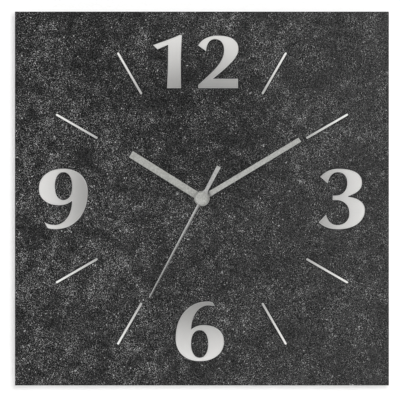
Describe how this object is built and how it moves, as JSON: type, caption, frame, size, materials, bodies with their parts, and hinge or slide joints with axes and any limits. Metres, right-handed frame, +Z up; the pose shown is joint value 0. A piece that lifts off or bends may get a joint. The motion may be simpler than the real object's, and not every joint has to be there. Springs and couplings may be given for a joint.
{
  "type": "wall clock",
  "caption": "Square frameless wall clock: dark stone-look composite panel with silver numerals, bar markers and three satin hands, driven by a quartz movement behind.",
  "frame": {"origin": "centre of the hanger's nail hole, in the wall plane", "axes": "+Z up, +Y into the wall, the dial faces -Y, +X to the viewer's right"},
  "size_m": [0.3, 0.0341, 0.3],
  "materials": {
    "printed_stone": "matt print of dark speckled slate on aluminium",
    "panel_core": "black polyethylene core",
    "mill_aluminium": "mill-finish aluminium back skin",
    "silver_numeral": "silver anodised, bright bevelled edge",
    "satin_aluminium": "satin brushed",
    "brass": "turned brass",
    "rubber": "soft black rubber",
    "zinc_steel": "zinc-plated sheet steel",
    "spacer_plastic": "moulded, fine texture",
    "felt": "dark felt",
    "case_plastic": "moulded black, fine texture",
    "natural_plastic": "natural acetal",
    "gear_plastic": "natural acetal gears",
    "soft_iron": "bare soft iron",
    "copper_wire": "enamelled copper wire",
    "board": "paper-laminate circuit board",
    "resin": "black potting resin",
    "nickel_can": "nickel-plated can",
    "battery_sleeve": "printed sleeve over steel can",
    "plated_contact": "nickel-plated spring steel",
    "steel_arbor": "polished steel",
    "magnet": "sintered magnet",
    "knob_plastic": "natural acetal, knurled rim"
  },
  "bodies": {
    "dial_and_case": {"dial_front_skin": "printed_stone", "dial_core": "panel_core", "dial_back_skin": "mill_aluminium", "numeral_12_one": "silver_numeral", "numeral_12_two": "silver_numeral", "numeral_03": "silver_numeral", "numeral_06": "silver_numeral", "numeral_09": "silver_numeral", "hour_marker_01": "silver_numeral", "hour_marker_02": "silver_numeral", "hour_marker_04": "silver_numeral", "hour_marker_05": "silver_numeral", "hour_marker_07": "silver_numeral", "hour_marker_08": "silver_numeral", "hour_marker_10": "silver_numeral", "hour_marker_11": "silver_numeral", "dial_washer": "brass", "hex_nut": "brass", "threaded_bushing": "brass", "rubber_washer": "rubber", "hanger": "zinc_steel", "hanger_plate": "zinc_steel", "wall_spacer_left": "spacer_plastic", "wall_spacer_right": "spacer_plastic", "felt_pad_left": "felt", "felt_pad_right": "felt", "movement_front_case": "case_plastic", "movement_rear_cover": "case_plastic", "train_bridge": "natural_plastic", "middle_plate": "natural_plastic", "stator": "soft_iron", "coil_core": "soft_iron", "coil_bobbin": "natural_plastic", "coil_winding": "copper_wire", "circuit_board": "board", "driver_chip": "resin", "quartz_crystal": "nickel_can", "battery": "battery_sleeve", "positive_contact": "plated_contact", "negative_contact": "plated_contact", "battery_spring": "plated_contact"},
    "hour_hand_body": {"hour_wheel": "gear_plastic", "hour_hand": "satin_aluminium", "hour_hand_collet": "brass"},
    "minute_hand_body": {"minute_arbor": "gear_plastic", "minute_hand": "satin_aluminium", "minute_hand_collet": "brass", "centre_wheel": "gear_plastic", "clutch_spring": "plated_contact"},
    "second_hand_body": {"second_stem": "steel_arbor", "second_wheel": "gear_plastic", "second_hand": "satin_aluminium", "second_hand_tube": "brass", "second_hand_cap": "satin_aluminium"},
    "third_wheel_body": {"third_wheel": "gear_plastic"},
    "intermediate_wheel_body": {"intermediate_wheel": "gear_plastic"},
    "rotor_body": {"rotor_magnet": "magnet", "rotor_pinion": "gear_plastic"},
    "setting_knob_body": {"setting_wheel": "gear_plastic", "setting_knob": "knob_plastic"}
  },
  "joints": [
    {"name": "minute_hand_spin", "type": "hinge", "parent": "dial_and_case", "child": "minute_hand_body", "pos_m": [0, 0, -0.037], "axis": [0, 1, 0], "continuous": true},
    {"name": "hour_hand_spin", "type": "hinge", "parent": "dial_and_case", "child": "hour_hand_body", "pos_m": [0, 0, -0.037], "axis": [0, 1, 0], "continuous": true},
    {"name": "second_hand_spin", "type": "hinge", "parent": "dial_and_case", "child": "second_hand_body", "pos_m": [0, 0, -0.037], "axis": [0, 1, 0], "continuous": true},
    {"name": "setting_knob_spin", "type": "hinge", "parent": "dial_and_case", "child": "setting_knob_body", "pos_m": [0.01195, 0, -0.03595], "axis": [0, 1, 0], "continuous": true},
    {"name": "third_wheel_spin", "type": "hinge", "parent": "dial_and_case", "child": "third_wheel_body", "pos_m": [-0.01001, 0, -0.03122], "axis": [0, 1, 0], "continuous": true},
    {"name": "intermediate_wheel_spin", "type": "hinge", "parent": "dial_and_case", "child": "intermediate_wheel_body", "pos_m": [0.00182, 0, -0.02666], "axis": [0, 1, 0], "continuous": true},
    {"name": "rotor_spin", "type": "hinge", "parent": "dial_and_case", "child": "rotor_body", "pos_m": [0.0078, 0, -0.02165], "axis": [0, 1, 0], "continuous": true}
  ],
  "couplings": [
    {"joint": "hour_hand_spin", "follows": "minute_hand_spin", "ratio": 0.083333},
    {"joint": "setting_knob_spin", "follows": "minute_hand_spin", "ratio": -0.33333},
    {"joint": "third_wheel_spin", "follows": "minute_hand_spin", "ratio": -8},
    {"joint": "second_hand_spin", "follows": "minute_hand_spin", "ratio": 60},
    {"joint": "intermediate_wheel_spin", "follows": "minute_hand_spin", "ratio": -360},
    {"joint": "rotor_spin", "follows": "minute_hand_spin", "ratio": 1800}
  ]
}
